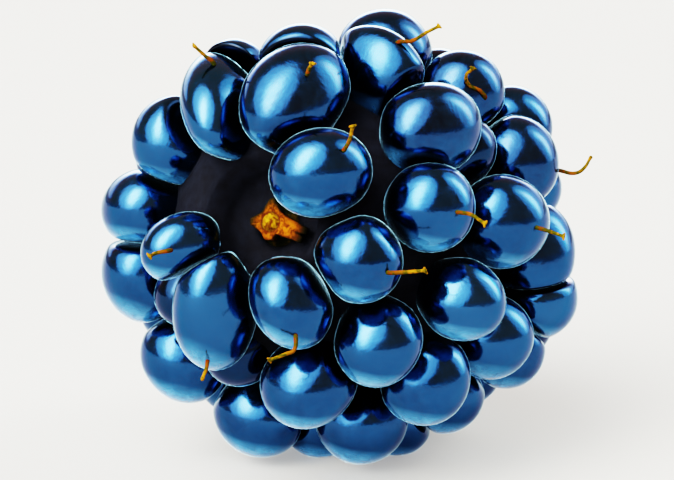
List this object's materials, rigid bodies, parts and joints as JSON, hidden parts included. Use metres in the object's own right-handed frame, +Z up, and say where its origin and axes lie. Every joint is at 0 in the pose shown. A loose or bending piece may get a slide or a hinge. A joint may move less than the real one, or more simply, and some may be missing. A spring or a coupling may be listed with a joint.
{
  "type": "bramble berry",
  "caption": "Ripe black bramble berry with a hollow stem end, glossy round drupelets, dry golden styles and a star-shaped orange receptacle end; it lies on its flank.",
  "frame": {"origin": "on the surface that the berry lies on, under the middle of its bounding box", "axes": "+Z up from the surface; the stem end faces -Y, turned a little towards -X and raised; the tip points to +Y"},
  "size_m": [0.0232, 0.0252, 0.0213],
  "materials": {
    "drupelet_skin": "glossy blue-black fruit skin, pale blue where it reflects light",
    "receptacle_flesh": "matt fibrous orange flesh, yellow in the middle and greenish at its edges",
    "dry_style": "dry golden hair, orange at the root and greenish at the tip"
  },
  "bodies": {
    "root": {"drupelets": "drupelet_skin", "receptacle": "receptacle_flesh"}
  },
  "joints": []
}
